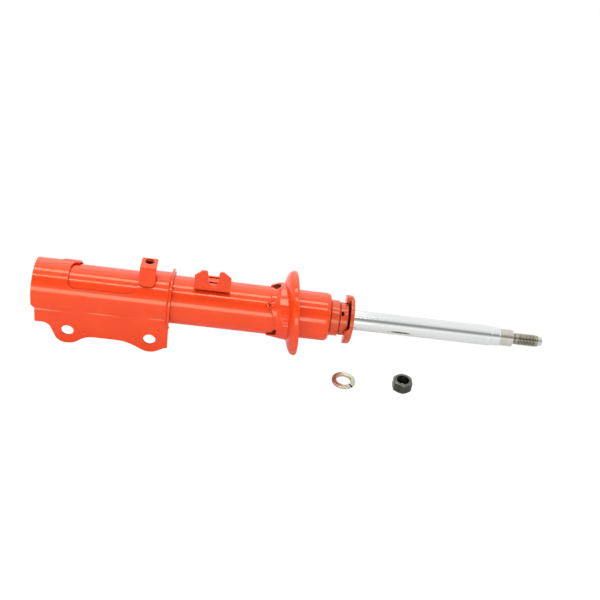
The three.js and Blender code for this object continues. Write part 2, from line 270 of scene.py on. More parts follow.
def about_z(centre):
    """Turns an outline about an upright axis that stands on the floor."""
    return lambda along, radius, angle: Vector((
        centre[0] + radius * cos(angle), centre[1] + radius * sin(angle), FLOOR_Z + along,
    ))


def on_seat(along, radius, angle):
    """Turns an outline about the leaning axis of the spring seat."""
    lean = Matrix.Rotation(SEAT_TURN_Z, 3, "Z") @ Matrix.Rotation(SEAT_TURN_Y, 3, "Y")
    return lean @ about_x(along, radius, angle) + X_AXIS * SEAT_X


def grid_normals(grid, closed):
    """Normals of a grid of points, from the directions to the neighbours."""
    count, length = len(grid), len(grid[0])
    normals = []
    for k in range(count):
        row = []
        for j in range(length):
            low = j - 1 if closed or j > 0 else 0
            high = (j + 1) % length if closed else min(j + 1, length - 1)
            round_it = grid[(k + 1) % count][j] - grid[k - 1][j]
            row.append(round_it.cross(grid[k][high] - grid[k][low]))
        normals.append(row)
    for j in range(length):
        if all(normals[k][j].length < 1e-7 for k in range(count)):
            inner = min(max(j, 1), length - 2)
            mean = sum((normals[k][inner].normalized() for k in range(count)), Vector())
            for k in range(count):
                normals[k][j] = mean
    return normals


def loft(skin, grid, closed=True):
    """Adds a closed surface through a grid of points: grid[k] is the outline at the k-th angle."""
    normals = grid_normals(grid, closed)
    count, length = len(grid), len(grid[0])
    cells = [
        (k, (k + 1) % count, j, (j + 1) % length)
        for k in range(count) for j in range(length if closed else length - 1)
    ]
    middle = sum((row[0] for row in grid), Vector()) / count
    volume = 0.0
    for k, after, j, ahead in cells:
        corners = (grid[k][j], grid[after][j], grid[after][ahead], grid[k][ahead])
        a, b, c, d = (corner - middle for corner in corners)
        volume += a.dot(b.cross(c)) + a.dot(c.cross(d))
    sign = 1 if volume > 0 else -1
    index = [
        [skin.point(p, n * sign) for p, n in zip(points, row)]
        for points, row in zip(grid, normals)
    ]
    for k, after, j, ahead in cells:
        skin.face(index[k][j], index[after][j], index[after][ahead], index[k][ahead])


def with_ends(rows):
    """The grid of a rod led through rows of points, with a point in the middle of each end."""
    count = len(rows[0])
    ends = [sum(rows[k], Vector()) / count for k in (0, -1)]
    rows = [[ends[0]] * count, *rows, [ends[1]] * count]
    return [[row[j] for row in rows] for j in range(count)]


def revolve(skin, outline_at, segments=SMOOTH, place=about_x, closed=True):
    """Adds a turned piece. Its outline of (along, radius) points may change with the angle."""
    grid = []
    for k in range(segments):
        angle = TURN * k / segments
        outline = outline_at(angle) if callable(outline_at) else outline_at
        grid.append([place(along, radius, angle) for along, radius in outline])
    loft(skin, grid, closed)


def turned(corners, spacing=8.0, **options):
    """The skin of a turned piece with a closed outline of (along, radius, rounding) corners."""
    skin = Skin()
    revolve(skin, dense(rounded(corners), spacing), **options)
    return skin


def bead(skin, path, thickness, ripple=0.12, segments=14):
    """Adds a weld bead with ripples along a path. A path that ends where it starts is a ring."""
    ring = (path[0] - path[-1]).length < 1e-6
    points = path[:-1] if ring else path
    count = len(points)
    rows = []
    for k, here in enumerate(points):
        before = points[k - 1] if ring or k else here
        after = points[(k + 1) % count] if ring or k + 1 < count else here
        ahead = (after - before).normalized()
        out = Vector((0, here.y, here.z)).normalized()
        side = ahead.cross(out).normalized()
        taper = 1.0 if ring else min(1.0, 0.25 + min(k, count - 1 - k) / 3)
        size = thickness * taper * (1 + ripple * sin(2.1 * k))
        rows.append([
            here + (side * cos(t) + out * sin(t)) * size
            for t in (TURN * j / segments for j in range(segments))
        ])
    if ring:
        loft(skin, rows)
    else:
        loft(skin, with_ends(rows), closed=False)


# ---- bent sheets


def outwards(loop, hole):
    """The direction away from the sheet at each point of a loop."""
    area = sum(
        a[0] * b[1] - b[0] * a[1] for a, b in zip(loop, loop[1:] + loop[:1])
    )
    sign = (1 if area > 0 else -1) * (-1 if hole else 1)
    ways = []
    for k in range(len(loop)):
        (a, b), (c, d) = loop[k - 1], loop[(k + 1) % len(loop)]
        ways.append(Vector((d - b, a - c)).normalized() * sign)
    return ways


def inside(place, loop):
    """True if a point lies inside a loop."""
    within = False
    for (a, b), (c, d) in zip(loop, loop[1:] + loop[:1]):
        if (b > place[1]) != (d > place[1]) and place[0] < a + (place[1] - b) * (c - a) / (d - b):
            within = not within
    return within


def on_sheet(place, loops):
    """True if a point lies inside the first loop and outside the others."""
    return inside(place, loops[0]) and not any(inside(place, hole) for hole in loops[1:])


def inner_points(loops, spacing, clear):
    """Grid points on the sheet that keep clear of all its loops."""
    across, up = spacing
    outer = loops[0]
    low = [min(p[i] for p in outer) for i in (0, 1)]
    high = [max(p[i] for p in outer) for i in (0, 1)]
    found = []
    for i in range(1, int((high[0] - low[0]) / across) + 1):
        for j in range(1, int((high[1] - low[1]) / up) + 1):
            place = (low[0] + i * across, low[1] + j * up)
            if on_sheet(place, loops) and all(
                    math.dist(place, p) > clear for loop in loops for p in loop):
                found.append(place)
    return found


def sheet_frame(bend, u, v, depth):
    """Where a sheet's point is, its outward normal and its two directions in the sheet."""
    step = 0.05
    along = bend(u + step, v, depth) - bend(u - step, v, depth)
    up = bend(u, v + step, depth) - bend(u, v - step, depth)
    normal = along.cross(up).normalized()
    if normal.dot(bend(u, v, depth - step) - bend(u, v, depth + step)) < 0:
        normal.negate()
    return bend(u, v, depth), normal, along.normalized(), up.normalized()


def sheet(skin, loops, bend, thickness, edge=0.45, spacing=(2.0, 2.0), extra=()):
    """Adds a sheet cut to flat loops, the first one outside and the rest holes, and then bent.

    bend(u, v, depth) is where a point of the flat sheet goes, depth below its outer face.
    """
    ways = [outwards(loop, k > 0) for k, loop in enumerate(loops)]
    inset = [
        [(p[0] - w.x * edge, p[1] - w.y * edge) for p, w in zip(loop, way)]
        for loop, way in zip(loops, ways)
    ]
    clear = 0.55 * min(spacing)
    flat = [p for loop in inset for p in loop] + inner_points(inset, spacing, clear) + list(extra)
    edges, start = [], 0
    for loop in inset:
        edges += [(start + k, start + (k + 1) % len(loop)) for k in range(len(loop))]
        start += len(loop)
    places, _, triangles, origins, _, _ = delaunay_2d_cdt(
        [Vector(p) for p in flat], edges, [], 0, 1e-4
    )
    triangles = [
        t for t in triangles if on_sheet(sum((places[k] for k in t), Vector((0, 0))) / 3, inset)
    ]
    where = {old: new for new, olds in enumerate(origins) for old in olds}
    faces = []
    for depth, sign in ((0.0, 1), (thickness, -1)):
        rows = []
        for u, v in places:
            point, normal, _, _ = sheet_frame(bend, u, v, depth)
            rows.append(skin.point(point, normal * sign))
        for triangle in triangles:
            skin.face(*(rows[k] for k in triangle))
        faces.append(rows)
    start = 0
    for loop, way in zip(loops, ways):
        rims = [[face[where[start + k]] for k in range(len(loop))] for face in faces]
        close_rim(skin, loop, way, bend, thickness, edge, rims)
        start += len(loop)


def close_rim(skin, loop, way, bend, thickness, edge, rims):
    """Closes a sheet's rim between its two faces: an arc, a straight wall and an arc."""
    arcs = [radians(a) for a in (30, 60, 90)]
    stations = [(edge * (1 - cos(a)), a, 1) for a in arcs]
    stations += [(thickness - edge * (1 - cos(a)), a, -1) for a in reversed(arcs)]
    rows = [rims[0]]
    for depth, arc, sign in stations:
        row = []
        for (u, v), out in zip(loop, way):
            back = edge * (1 - sin(arc))
            point, normal, along, up = sheet_frame(bend, u - out.x * back, v - out.y * back, depth)
            away = along * out.x + up * out.y
            row.append(skin.point(point, normal * cos(arc) * sign + away * sin(arc)))
        rows.append(row)
    rows.append(rims[1])
    for row, other in zip(rows, rows[1:]):
        skin.strip(row, other)


# ---- knuckle bracket


def below(z):
    """How far down the flat sheet, from the top line, an ear's height is."""
    return QUARTER - z


DIMPLES = ((24.9, -23.4), (51.0, -33.2), (99.1, -33.4), (122.8, -21.9))


def bracket_relief(u, v):
    """How far the bracket's sheet stands out from its section: a pad and punch marks."""
    far = -v / SLEEVE_R
    pad = smoothstep(u, 22, 25) * smoothstep(far, 0.30, 0.42) * (1 - smoothstep(far, 0.95, 1.1))
    pad *= 1 - smoothstep(u, 60, 62)
    marks = sum(
        math.exp(-(((u - x) ** 2 + (abs(v) - below(z)) ** 2) / 1.7)) for x, z in DIMPLES
    )
    return 1.1 * pad - 1.3 * marks


def bracket_bend(u, v, depth):
    """The bracket's flat sheet, rolled round the tube, let down into ears and lipped at one end."""
    side = -1 if v > 0 else 1
    around = min(abs(v), QUARTER) / SLEEVE_R
    drop = max(0.0, abs(v) - QUARTER)
    out = Vector((0, side * sin(around), cos(around)))
    crease = 10.2 - 0.03 * u
    tuck = 0.004 * min(drop, crease) ** 2
    joggle = (EAR_Y - SLEEVE_R + tuck) * smoothstep(drop, crease, crease + 3.6) - tuck
    groove = 0.3 * math.exp(-(((drop - crease) / 0.8) ** 2))
    base = out * (SLEEVE_R + joggle) + Vector((0, 0, -drop))
    over = u - LIP_START
    turn = radians(90) * (1 - smoothstep(drop, 11, 18))
    if over <= 0 or turn < 0.02:
        return base + X_AXIS * u + out * (bracket_relief(u, v) - groove - depth)
    radius = LIP_ARC / turn
    angle = min(over / radius, turn)
    rest = over - angle * radius
    along = radius * sin(angle) + rest * cos(angle)
    rise = radius * (1 - cos(angle)) + rest * sin(angle)
    normal = out * cos(angle) - X_AXIS * sin(angle)
    return base + X_AXIS * (LIP_START + along) + out * rise - normal * depth


def bracket_outline():
    """The near half of the flat sheet, from its right end to its left, and its mirror image."""
    lobe = 15.5
    near = [
        (133.9, below(-12.5), 3), (132.6, below(-18.5), 3), (132.6, below(-41.6), 0.9),
        (130.0, below(-41.6), 3), (119.3, below(FLOOR_Z), lobe), (111.0, below(FLOOR_Z), lobe),
        (92.0, below(-38.2), 38), (52.8, below(-38.2), 25), (40.7, below(FLOOR_Z), lobe),
        (25.7, below(FLOOR_Z), lobe), (16.7, below(-25.6), 9), (3.5, below(-25.8), 1.2),
        (3.5, below(-10.5), 2), (0.0, below(-7.0), 2),
    ]
    far = [(u, -v, radius) for u, v, radius in reversed(near)]
    return dense(rounded(near + far, step=9), 1.6)


def bracket_window():
    """The opening over the top of the sleeve."""
    low = SLEEVE_R * radians(56)
    far = SLEEVE_R * radians(66)
    corners = [
        (33.8, low, 7.5), (33.9, 0.0, 6), (36.5, -8.3, 2.5), (41.0, -8.3, 1.2),
        (41.0, -far, 6), (99.4, -far, 8), (99.4, low - 0.8, 9),
    ]
    return dense(rounded(corners, step=9), 1.6)


def knuckle_bracket(materials):
    skin = Skin()
    bolts = [
        ring_points(x, side * below(BOLT_Z), BOLT_R, 48) for x in BOLT_X for side in (1, -1)
    ]
    marks = []
    for x, z in DIMPLES:
        for side in (1, -1):
            centre = side * below(z)
            marks += [(x, centre)]
            for radius in (0.6, 1.2, 1.8, 2.6):
                marks += ring_points(x, centre, radius, 12)
    sheet(skin, [bracket_outline(), bracket_window(), *bolts], bracket_bend, SHEET,
          spacing=(3.2, 1.7), extra=marks)
    piece = make("bracket_sheet", skin, materials, "red_paint", ["knuckle_bracket"])
    # Painted shade: the lower half of the window's rim is dark, as the shadowed gap at the sheet's
    # edge.
    other_finish(piece, materials["bare_recess"], lambda x, r, angle: (
        r < TUBE_R + 1.2 and sin(angle) > 0.3 and cos(angle) < 0.4))


# ---- tube and its ends


def tube(materials):
    wall = 2.0
    neck = 15.2
    skin = turned([
        (0.6, TUBE_R, 0.5), (TUBE_END, TUBE_R, 6.2), (TUBE_END, neck, 0.4),
        (TUBE_END - 2, neck, 0.4), (TUBE_END - 2, 19.5, 2), (TUBE_END - 6, TUBE_R - wall, 3),
        (0.6, TUBE_R - wall, 0.5),
    ])
    make("outer_tube", skin, materials, "red_paint", ["reserve_tube"])


def base_cap(materials):
    outer = TUBE_R - 2.3
    skin = turned([
        (8, outer, 0.6), (1.6, outer, 1.2), (0.1, outer - 2.4, 1.5), (0.1, 12, 3), (3.0, 9, 3),
        (3.0, 0.02, 0), (5.0, 0.02, 0), (5.0, 9, 3), (3.2, 13, 3), (3.2, outer - 3, 1.5),
        (8, outer - 3, 0.6),
    ], spacing=3)
    seam = [about_x(1.5, TUBE_R - 1.3, TURN * k / 220) for k in range(220)]
    bead(skin, [*seam, seam[0]], 1.3)
    make("base_end", skin, materials, "red_paint", ["base_cap"])


def end_cap(materials):
    """The neck on the tube, with a groove and four vents in its narrower step."""
    step = TUBE_END + 0.3
    corners = [
        (step, 17.7, 0.5), (297.3, 17.7, 0.9), (297.5, 15.6, 0.3), (298.1, 15.6, 0.3),
        (298.3, 16.3, 0.5), (306.2, 16.3, 0.9), (306.2, 10.8, 0.3), (304.0, 10.8, 0.3),
        (304.0, 13.0, 0.3), (step, 13.0, 0.5),
    ]
    outline = dense(rounded(corners), 0.5)

    def at(angle):
        off = nearest(angle, VENTS)
        return [(x, r - vent_depth(x, r, off)) for x, r in outline]

    skin = Skin()
    revolve(skin, at, segments=SMOOTH + 120)
    # The neck is in the darker copy of the red paint, as painted shade; its groove and inner end
    # get painted shade.
    piece = make("neck_cap", skin, materials, "red_paint", ["end_cap"], look="dull_paint")
    other_finish(piece, materials["bare_recess"], lambda x, r, angle: (
        r < 15.4 and 298.4 < x < 304 or r < 15.9 and x > 305.6))


def vent_depth(along, radius, angle):
    """How deep a vent, longer round the neck than along it, cuts into the outside of the neck."""
    if radius < 15.9:
        return 0.0
    off = math.hypot(along - VENT_X, angle * radius / 1.9)
    return 2.8 * (1 - smoothstep(off, 1.0, 1.35))


def lug_depth(angle):
    """How far a lug reaches back at an angle, from 0 between the lugs to 1."""
    return max(
        1 - smoothstep(abs(angle_from(angle, centre)), tip, root) for centre, tip, root in LUGS
    )


def striker(materials):
    """The striker: a flat plate with a hub, and three lugs that reach back over the neck."""
    back = STRIKER_FACE - 3.7

    def at(angle):
        depth = lug_depth(angle)
        end = back - 4.2 * depth
        rim = 22.6 + 1.8 * depth
        inner = 21.2 - 3.8 * depth
        return softened([
            (STRIKER_FACE, 10.9, 0.5),
            (STRIKER_FACE - 0.3 * depth, rim - 0.4 * depth, 1.0 + 2.2 * depth),
            (end, rim, 0.9), (end, inner, 0.4), (back, inner - 0.3, 0.5), (back, 12.4, 0.6),
            (306.5, 12.4, 0.3), (306.5, 10.9, 0.3),
        ])

    skin = Skin()
    revolve(skin, at, segments=300)
    # The striker is in the darker copy of the red paint, as painted shade; the back of its plate
    # between the lugs and round the hub gets painted shade.
    piece = make("striker", skin, materials, "red_paint", ["striker_plate"], look="dull_paint")
    other_finish(piece, materials["bare_recess"], lambda x, r, angle: (
        x < back + 0.2 and r < 21.4 and lug_depth(angle) < 0.05
        or x < STRIKER_FACE - 1 and r < 17.2))


# ---- spring seat and collar


def spring_seat(materials):
    hub = 24.9

    def at(angle):
        dome = max(0.0, cos(angle - radians(57))) ** 2
        return softened([
            (-6.0 - 3.2 * dome, hub, 0.5), (-5.6 - 3.2 * dome, 29.0, 2.0),
            (-3.8 - 1.8 * dome, 37.0, 3.0), (-1.0 - 1.2 * dome, 41.6, 3.5), (3.0, 42.0, 3.0),
            (4.3, 40.3, 0.7), (3.7, 38.9, 0.6), (-0.2, 38.9, 2.5), (-2.4, 33.0, 3.0),
            (-3.8 - 2.6 * dome, hub, 0.4),
        ])

    skin = Skin()
    revolve(skin, at, segments=200, place=on_seat)
    make("seat_dish", skin, materials, "red_paint", ["spring_seat"])


# The collar's left edge: angles in degrees and where the edge is there.
COLLAR_EDGE = (
    (46, 227.5), (60, 227.4), (70, 230.5), (88, 232.0), (112, 228.7), (136, 228.2), (151, 231.3),
    (166, 233.7), (188, 234.8), (205, 232.0), (216, 227.5), (232, 227.2), (250, 231.5),
    (300, 232.5), (318, 228.0), (345, 232.5), (370, 231.5),
)
# The collar's folds: angle in degrees and how far the fold stands out; flat between folds.
COLLAR_FOLDS = (
    (53, 0.0), (73, 0.0), (93, 0.5), (110, -0.5), (117, 0.3), (131, 0.35), (146, 0.0),
    (149.5, 0.45), (153, 0.0), (158, -0.2), (161, 0.45), (164, 0.0), (167, 0.3), (170, -0.1),
    (173.5, 0.45), (178, -0.1), (188, -0.1), (192, 0.5), (197, -0.1), (212, 0.3), (230, 0.2),
    (250, 0.3), (262, -0.2), (275, 0.3), (289, -0.2), (303, 0.3), (318, 0.2), (333, 0.3),
    (349, -0.2), (365, 0.3), (380, -0.2), (396, 0.2),
)


def neighbours(angle, table):
    """The angle in degrees, and the rows before and after it in a table that goes round once."""
    first, value = table[0]
    turn = first + (math.degrees(angle) - first) % 360
    rows = [*table, (first + 360, value)]
    for before, after in zip(rows, rows[1:]):
        if turn <= after[0]:
            return turn, before, after


def collar_edge(angle):
    """The collar's left edge, without the openings."""
    turn, (before, low), (after, high) = neighbours(angle, COLLAR_EDGE)
    return low + (high - low) * smoothstep(turn, before, after)


def collar_slot(angle):
    """How open the collar's edge is at an angle, from 0 to 1 in the middle of a slot."""
    return max(
        1 - smoothstep(abs(angle_from(angle, centre)), half, ends)
        for centre, half, ends in COLLAR_SLOTS
    )


def folded(angle, mean):
    """The radius of the folded sheet: a straight line, seen along the axis, between two folds."""
    turn, (before, low), (after, high) = neighbours(angle, COLLAR_FOLDS)
    start, end = mean + low, mean + high
    share = start * sin(radians(turn - before)) + end * sin(radians(after - turn))
    return start * end * sin(radians(after - before)) / share


def collar_tab(angle):
    return 1 - smoothstep(abs(nearest(angle, COLLAR_TABS)), radians(9), radians(17))


def collar_outline(angle):
    """The collar's section: it stands out more towards the top, with folds and pointed tabs."""
    tab = collar_tab(angle)
    edge = collar_edge(angle)
    left = edge + (COLLAR_CREST - edge) * collar_slot(angle)
    top = 0.5 + 0.5 * cos(angle - radians(57))
    inner = TUBE_R + 0.45
    reach = 249.0 + 3.0 * cos(angle - radians(150))
    mean = inner + 2.9 + 1.9 * top
    crest = COLLAR_CREST + 9.0 * (1 - top) ** 2
    foot = inner + 0.7 + 0.5 * top
    ramp = foot + 0.6 * (mean - foot) * (0.5 + 0.5 * tab)
    return softened([
        (left, inner, 0.1), (left + 0.1, foot, 0.4), (left + 0.55 * (crest - left), ramp, 1.5),
        (crest, folded(angle, mean - 0.3) + 0.3 * tab, 1.5),
        (reach, folded(angle, mean + 0.3), 0.6), (reach, inner, 0.3),
    ], steps=4)


def collar_shade_liner(angle):
    """A dark liner of painted shade that shows in the slots; under the top tab it rises to the
    tab's ridge.
    """
    inner = TUBE_R + 0.1
    lift = 2.7 * math.exp(-(math.degrees(angle_from(angle, radians(66))) / 10) ** 2)
    start = max(229.0, collar_edge(angle) + 0.9)
    return [
        (start, inner), (start, inner + 0.45), (237.4, inner + 0.5 + lift),
        (244, inner + 0.5 + lift), (244, inner),
    ]


def weld_run(skin, stops, thickness, ripple):
    """A weld along (position, angle in degrees, rounding) stops on the tube."""
    flat = [(x, TUBE_R * radians(a), r) for x, a, r in stops]
    run = dense(rounded(flat, closed=False), 0.7, closed=False)
    bead(skin, [about_x(x, TUBE_R + 0.7, v / TUBE_R) for x, v in run], thickness, ripple=ripple)


def seat_collar(materials):
    skin = Skin()
    revolve(skin, collar_outline, segments=400)
    revolve(skin, collar_shade_liner, segments=240)
    weld_run(skin, [(233.4, 91, 0), (229.2, 108, 4), (229.0, 116, 0)], 1.0, 0.25)
    weld_run(skin, [(234.0, 113, 0), (230.0, 118, 1.0), (226.0, 130, 0.8), (226.6, 139, 0.8),
                    (229.8, 136, 0.8), (233.0, 123, 1.0), (236.0, 119, 0)], 1.7, 0.3)
    weld_run(skin, [(227.6, 140, 0), (229.6, 147, 2), (231.6, 152, 3), (234.2, 167, 6),
                    (235.4, 188, 0)], 1.0, 0.25)
    piece = make("collar", skin, materials, "red_paint", ["seat_collar"])
    # Painted shade: the liner's faces in the slots are dark, as openings in shade under the collar.
    other_finish(piece, materials["bare_recess"], lambda x, r, angle: (
        r < collar_shade_liner(angle)[2][1] + 0.1 and collar_slot(angle) > 0.05 and x < 237.2
        and r < TUBE_R + 0.7 + 0.55 * (x - 229)))


# ---- hose bracket and clip


HOSE_X = 108.5
HOSE_WIDTH = 15.6
HOSE_FOOT = (-16.9, 23.6)
HOSE_LEAN = radians(58.5)
HOSE_LEG = 18.5
HOSE_BEND_R = 3.2
HOSE_NUT_AT = (HOSE_X, 2.55)
HOSE_NUT_Z = 30.6


def hose_bend(u, v, depth):
    """The flat strap, led up along the leg, round the bend and back along the level tab."""
    reach = HOSE_BEND_R * tan(HOSE_LEAN / 2)
    leg = HOSE_LEG - reach
    way = Vector((cos(HOSE_LEAN), sin(HOSE_LEAN)))
    place = Vector(HOSE_FOOT) + way * min(v, leg)
    turn = min(max(0.0, (v - leg) / HOSE_BEND_R), HOSE_LEAN)
    heading = HOSE_LEAN - turn
    chord = Vector((sin(HOSE_LEAN) - sin(heading), cos(heading) - cos(HOSE_LEAN)))
    place += chord * HOSE_BEND_R
    rest = max(0.0, v - leg - HOSE_LEAN * HOSE_BEND_R)
    place += Vector((rest, 0))
    place -= Vector((-sin(heading), cos(heading))) * depth
    return Vector((u, place.x, place.y))


def hose_bracket(materials):
    half = HOSE_WIDTH / 2
    length = 34.2
    corners = [
        (HOSE_X - half, 0, 5.0), (HOSE_X + half, 0, 5.0),
        (HOSE_X + half, length, 1.2), (HOSE_X - half, length, 1.2),
    ]
    hole = ring_points(HOSE_X, 28.8, 4.4, 36)
    skin = Skin()
    sheet(skin, [dense(rounded(corners, step=12), 0.9), hole], hose_bend, 2.5,
          edge=0.5, spacing=(1.3, 0.8))
    make("hose_strap", skin, materials, "red_paint", ["hose_bracket"])
    nut = hex_nut(across=13, height=6.4, bore=3.9, groove=0.54, pitch=1.25,
                  centre=HOSE_NUT_AT, base=HOSE_NUT_Z - FLOOR_Z)
    piece = make("hose_nut", nut, materials, "red_paint", ["hose_weld_nut"])
    # Painted shade: the weld nut's bore is dark.
    shade_bore(piece, materials["bare_recess"], HOSE_NUT_AT, 4.6)


CLIP_NEAR = -14.0
CLIP_LOW = 24.3
CLIP_BEND_R = 2.6
CLIP_BACK = 10.0
CLIP_FOOT = CLIP_BACK - CLIP_NEAR - CLIP_BEND_R  # the flat length of the foot
CLIP_NOTCH = (171.2, 37.0)


def clip_height(z):
    """How far along the flat clip, from its foot's far end, a height on its upright plate is."""
    return CLIP_FOOT + CLIP_BEND_R * pi / 2 + z - CLIP_LOW - CLIP_BEND_R


def clip_emboss(u, v):
    """The U-shaped band pressed into the clip's plate round its notch."""
    off = math.hypot(u - CLIP_NOTCH[0], v - clip_height(CLIP_NOTCH[1]))
    band = smoothstep(off, 6.9, 8.0) * (1 - smoothstep(off, 11.4, 12.6))
    top = clip_height(CLIP_NOTCH[1] + 3.5)
    return 0.6 * band * (1 - smoothstep(v, top, top + 3)) * smoothstep(v, top - 14, top - 11)


def clip_bend(u, v, depth):
    """The flat clip, led along its foot towards the near side and then up its plate."""
    turn = min(max(0.0, (v - CLIP_FOOT) / CLIP_BEND_R), pi / 2)
    rise = max(0.0, v - CLIP_FOOT - CLIP_BEND_R * pi / 2)
    out = Vector((0, -sin(turn), -cos(turn)))
    centre = Vector((u, CLIP_BACK - min(v, CLIP_FOOT), CLIP_LOW + CLIP_BEND_R + rise))
    return centre + out * (CLIP_BEND_R + clip_emboss(u, v) - depth)


def hose_clip(materials):
    """An angle piece: a foot on the tube's top line and a plate with a U-shaped notch."""
    left, right = 153.4, 188.5
    tall = [clip_height(z) for z in (31.8, 41.2, 41.6, 42.9, 47.9)]
    corners = [
        (160, 0, 2), (183, 0, 2), (183, 15, 2), (right, 17, 2), (right, tall[2], 1.8),
        (180.8, tall[4], 2.2), (177.2, tall[4], 1.8), (176.4, tall[3], 3), (176.4, tall[0], 5.0),
        (166.2, tall[0], 5.0), (166.2, tall[3], 3), (165.4, tall[4] - 0.4, 2.0),
        (160.6, tall[4] - 0.4, 2.2), (left, tall[1], 1.8), (left, 17, 2), (160, 15, 2),
    ]
    slots = [
        dense(rounded([(166, v, 0.9), (177, v, 0.9), (177, v + 2, 0.9), (166, v + 2, 0.9)]), 0.5)
        for v in (2.2, 10.6)
    ]
    skin = Skin()
    sheet(skin, [dense(rounded(corners, step=12), 0.8), *slots], clip_bend, 2.2,
          edge=0.5, spacing=(0.9, 0.9))
    make("clip_plate", skin, materials, "red_paint", ["hose_clip_plate"])


# ---- rod


def thread_radius(along, angle, pitch, mean, depth):
    """The radius of a V thread."""
    share = (along / pitch - angle / TURN) % 1.0
    return mean + depth * (abs(2 * share - 1) - 0.5)


def rod(materials):
    shaft = rounded([
        (183.2, 0, 0), (183.2, 4.6, 0.6), (216, 4.8, 0.2), (216, ROD_R, 0.6), (450.3, ROD_R, 0.6),
        (452.2, 9.2, 0.4), (459.2, 9.2, 0.5), (460.6, 8.4, 0.4), (473.3, 8.4, 0.5),
        (474.0, 7.6, 0.3), (474.2, 5.5, 0.6), (477.2, 5.45, 0.4), (THREAD[0], STUD_R - 0.35, 0),
    ], closed=False)
    tip = rounded([
        (THREAD[1], STUD_R - 0.35, 0), (499.3, 5.5, 0.5), (503.9, 4.1, 0.5), (504.0, 2.9, 0.3),
        (501.5, 2.3, 0.4), (501.5, 0, 0),
    ], closed=False)
    rows = int((THREAD[1] - THREAD[0]) / PITCH * 14)
    ridges = [THREAD[0] + (THREAD[1] - THREAD[0]) * k / rows for k in range(1, rows)]

    def at(angle):
        crests = [
            (x, thread_radius(x, angle, PITCH, STUD_R - 0.42, 0.84 * smoothstep(
                min(x - THREAD[0], THREAD[1] - x), 0, 1.2)))
            for x in ridges
        ]
        return dense(shaft, 6, closed=False) + crests + dense(tip, 6, closed=False)

    skin = Skin()
    revolve(skin, at, segments=128, closed=False)
    piece = make("rod", skin, materials, "chrome", ["piston_rod"], body="rod_set")
    other_finish(piece, materials["satin_steel"], lambda x, r, angle: (
        CHROME_END < x < NECK or x > TIP))
    other_finish(piece, materials["nickel"], lambda x, r, angle: NECK < x < TIP)
    # Painted shade: the end face and the socket in the tip are black steel, dark as in shade.
    other_finish(piece, materials["black_steel"], lambda x, r, angle: (
        x > 502.6 or x > 501.3 and r < 2.8))


# ---- loose nut and washer


def hex_radius(angle, flat):
    """The radius of a hexagon with slightly rounded corners."""
    off = (angle + pi / 6) % (pi / 3) - pi / 6
    return min(flat / cos(off), flat * 1.135)


def hex_nut(across, height, bore, groove, pitch, centre, base=0.0, turn=0.0):
    """The skin of an upright hexagonal nut with a threaded bore, its base above the floor."""
    flat = across / 2
    rows = max(6, int(height / pitch * 8))

    def at(angle):
        side = hex_radius(angle - turn, flat)
        slope = (side - flat + 0.25) * 0.55
        outside = softened([
            (base + 1.0, bore, 0), (base, bore + 1.2, 0.3), (base, flat - 0.35, 0.5),
            (base + slope, side, 0.35), (base + height - slope, side, 0.35),
            (base + height, flat - 0.35, 0.5), (base + height, bore + 1.2, 0.3),
            (base + height - 1.0, bore, 0),
        ], closed=False, steps=4)
        levels = [base + height - 1.0 - (height - 2.0) * k / rows for k in range(1, rows)]
        mean = bore - 0.3 + groove / 2
        return outside + [(z, thread_radius(z, angle, pitch, mean, groove)) for z in levels]

    skin = Skin()
    revolve(skin, at, segments=SMALL, place=about_z(centre))
    return skin


def shade_bore(piece, material, centre, radius):
    """Gives the faces round an upright bore another material, for painted shade in the bore."""
    piece.data.materials.append(material)
    for face in piece.data.polygons:
        if (face.center.xy / MM - Vector(centre)).length < radius:
            face.material_index = 1


def loose_nut(materials):
    skin = hex_nut(across=18, height=10.4, bore=5.3, groove=0.6, pitch=PITCH,
                   centre=NUT_AT, turn=radians(3))
    piece = make("nut", skin, materials, "black_steel", ["hex_nut"], body="nut_body")
    # Painted shade: the nut's bore is near black.
    shade_bore(piece, materials["oily_black"], NUT_AT, 6.45)
    # Painted light: the faces that look up get a lighter black, as if lit from above.
    piece.data.materials.append(materials["worn_black"])
    for face in piece.data.polygons:
        if face.material_index == 0 and face.normal.z > 0.4:
            face.material_index = 2


def spring_washer(materials):
    """A split ring of square section, one end a little higher than the other."""
    inner, outer, high, rise = 7.3, 11.7, 2.8, 0.35
    gap = radians(5)
    turn = radians(-48)
    corners = ((0, inner), (0, outer), (high, outer), (high, inner))
    outline = rounded([(z, r, 0.45) for z, r in corners])
    place = about_z(WASHER_AT)
    count = 120
    rows = []
    for k in range(count + 1):
        share = k / count
        angle = turn + gap + (TURN - 2 * gap) * share
        rows.append([place(z + rise * share, r, angle) for z, r in outline])
    skin = Skin()
    loft(skin, with_ends(rows), closed=False)
    make("washer", skin, materials, "yellow_zinc", ["spring_washer"], body="washer_body")


# ---- materials


def fill_ramp(ramp, stops):
    """Gives a colour ramp its (position, colour) stops."""
    elements = ramp.color_ramp.elements
    while len(elements) < len(stops):
        elements.new(0.5)
    for element, (position, colour) in zip(elements, stops):
        element.position = position
        element.color = (*colour, 1)


def set_inputs(node, values):
    """Sets a node's own sockets, with _ in a name for a space."""
    for name, value in values.items():
        node.inputs[name.replace("_", " ")].default_value = value


